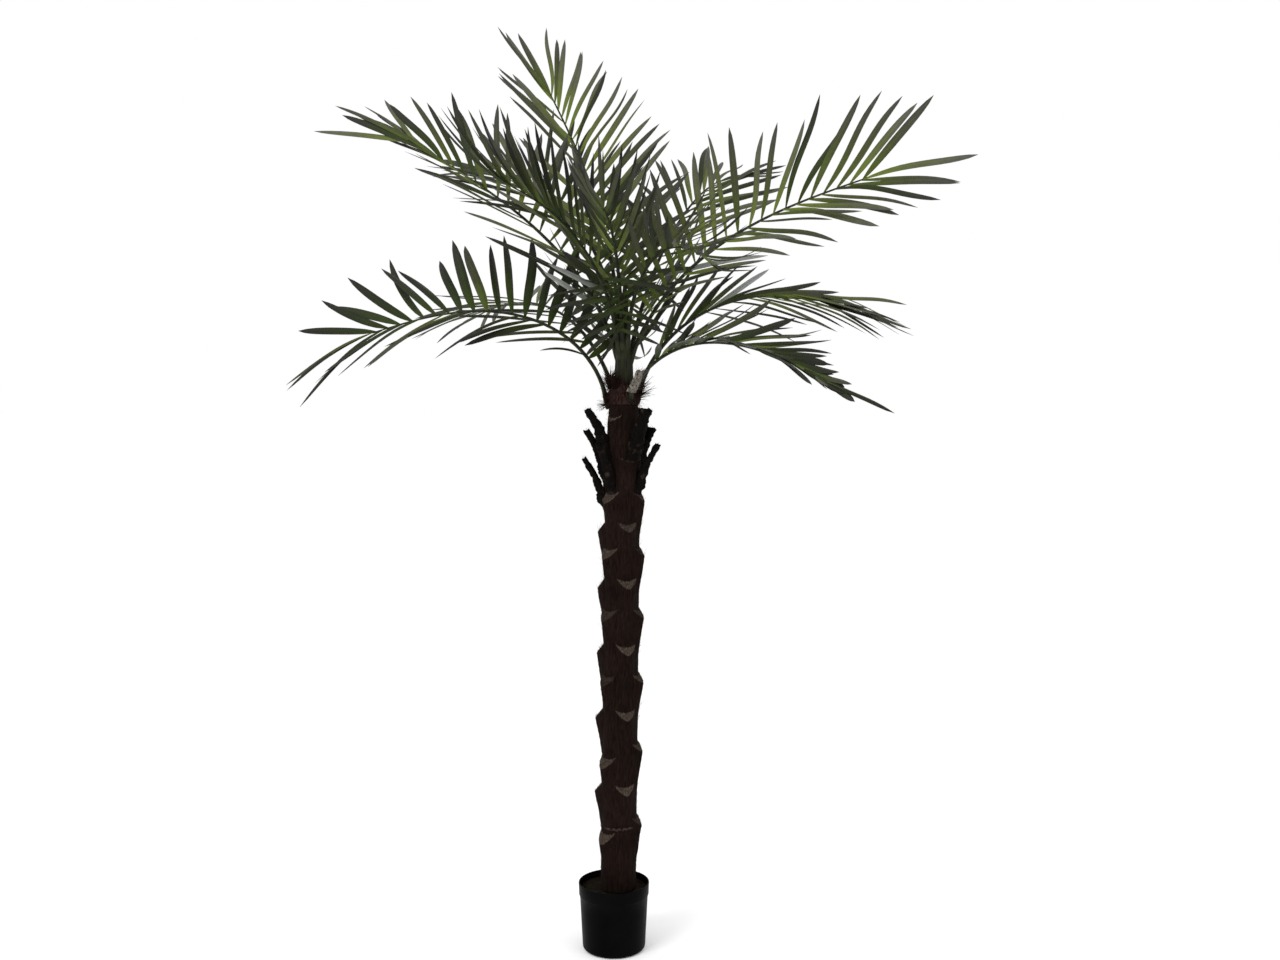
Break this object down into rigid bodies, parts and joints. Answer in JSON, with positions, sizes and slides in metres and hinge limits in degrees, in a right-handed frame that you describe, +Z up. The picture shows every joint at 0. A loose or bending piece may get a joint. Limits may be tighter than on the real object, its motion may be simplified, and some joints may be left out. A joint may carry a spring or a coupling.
{
  "type": "artificial kentia palm",
  "caption": "Tall artificial palm: black nursery pot, slim fibre-wrapped trunk with leaf-base rings, and a crown of arching green feather fronds.",
  "frame": {"origin": "centre of the pot's flat underside", "axes": "+Z up from the pot to the crown; the trunk leans a little towards +X, and the picture's view looks along +Y"},
  "size_m": [1.4651, 1.3613, 2.1414],
  "materials": {
    "black_plastic": "moulded black plastic, soft sheen",
    "olive_filler": "rough cast filler, olive brown",
    "brown_fibre": "coarse brown palm fibre wrapped round a pole",
    "black_stalk": "rough black cut stalks",
    "red_brown_fibre": "ragged red-brown fibre",
    "dark_green_stalk": "dull dark green plastic",
    "beige_cloth": "beige fibrous cloth",
    "green_leaf": "green leaf cloth with a soft sheen"
  },
  "bodies": {
    "root": {"pot": "black_plastic", "filler": "olive_filler", "trunk": "brown_fibre", "stub_01": "black_stalk", "stub_02": "black_stalk", "stub_03": "black_stalk", "stub_04": "black_stalk", "stub_05": "black_stalk", "stub_06": "black_stalk", "stub_07": "black_stalk", "stub_08": "black_stalk", "stub_09": "black_stalk", "stub_10": "black_stalk", "stub_11": "black_stalk", "stub_12": "black_stalk", "collar": "red_brown_fibre", "crown_shaft": "dark_green_stalk", "sheath": "beige_cloth", "frond_01": "green_leaf", "frond_02": "green_leaf", "frond_03": "green_leaf", "frond_04": "green_leaf", "frond_05": "green_leaf", "frond_06": "green_leaf", "frond_07": "green_leaf", "frond_08": "green_leaf", "frond_09": "green_leaf", "frond_10": "green_leaf", "frond_11": "green_leaf", "frond_12": "green_leaf", "frond_13": "green_leaf"}
  },
  "joints": []
}
